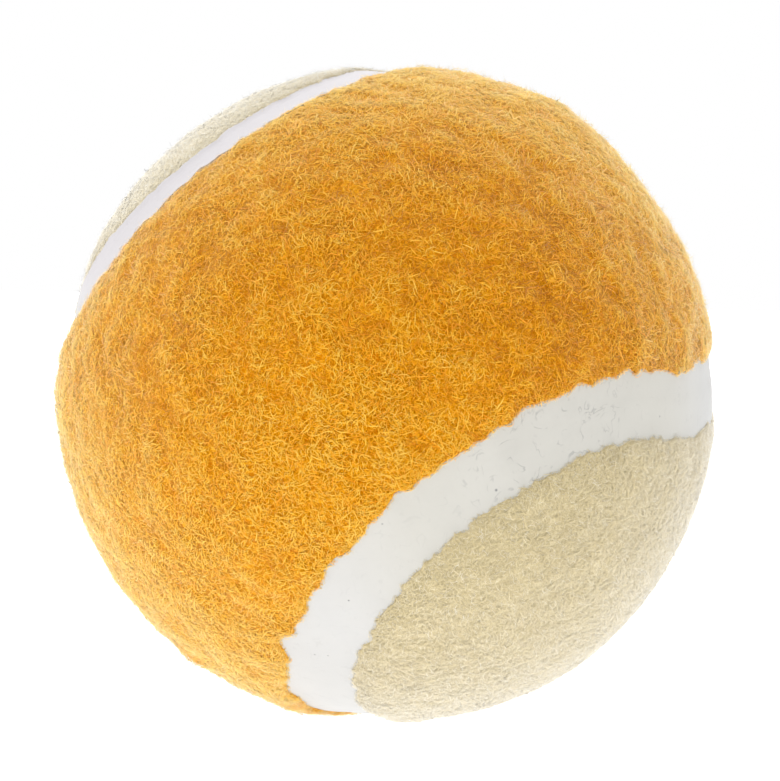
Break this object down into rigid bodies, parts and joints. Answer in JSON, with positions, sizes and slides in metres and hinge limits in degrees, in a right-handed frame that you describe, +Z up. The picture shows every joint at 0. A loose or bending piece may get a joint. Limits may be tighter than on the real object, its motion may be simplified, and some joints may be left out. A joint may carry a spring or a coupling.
{
  "type": "tennis ball",
  "caption": "Two-tone felt-covered hollow rubber ball, orange and cream panels with a wide white recessed seam, for tennis practice and play.",
  "frame": {"origin": "the ball's centre", "axes": "+Z up through a crossing of the seam; X runs through the seam's other two crossings; the orange panel is centred on -Y and the cream panel on +Y"},
  "size_m": [0.0664, 0.067, 0.0664],
  "materials": {
    "core_rubber": "matt dark grey moulded rubber",
    "rubber_cement": "dried tan rubber cement",
    "orange_felt": "napped orange felt with tangled fibres",
    "cream_felt": "napped cream felt with tangled fibres",
    "seam_rubber": "smooth matt white rubber"
  },
  "bodies": {
    "root": {"core_half_top": "core_rubber", "core_half_bottom": "core_rubber", "core_joint_cement": "rubber_cement", "orange_panel_cement": "rubber_cement", "cream_panel_cement": "rubber_cement", "orange_felt_panel": "orange_felt", "cream_felt_panel": "cream_felt", "seam_strip": "seam_rubber"}
  },
  "joints": []
}
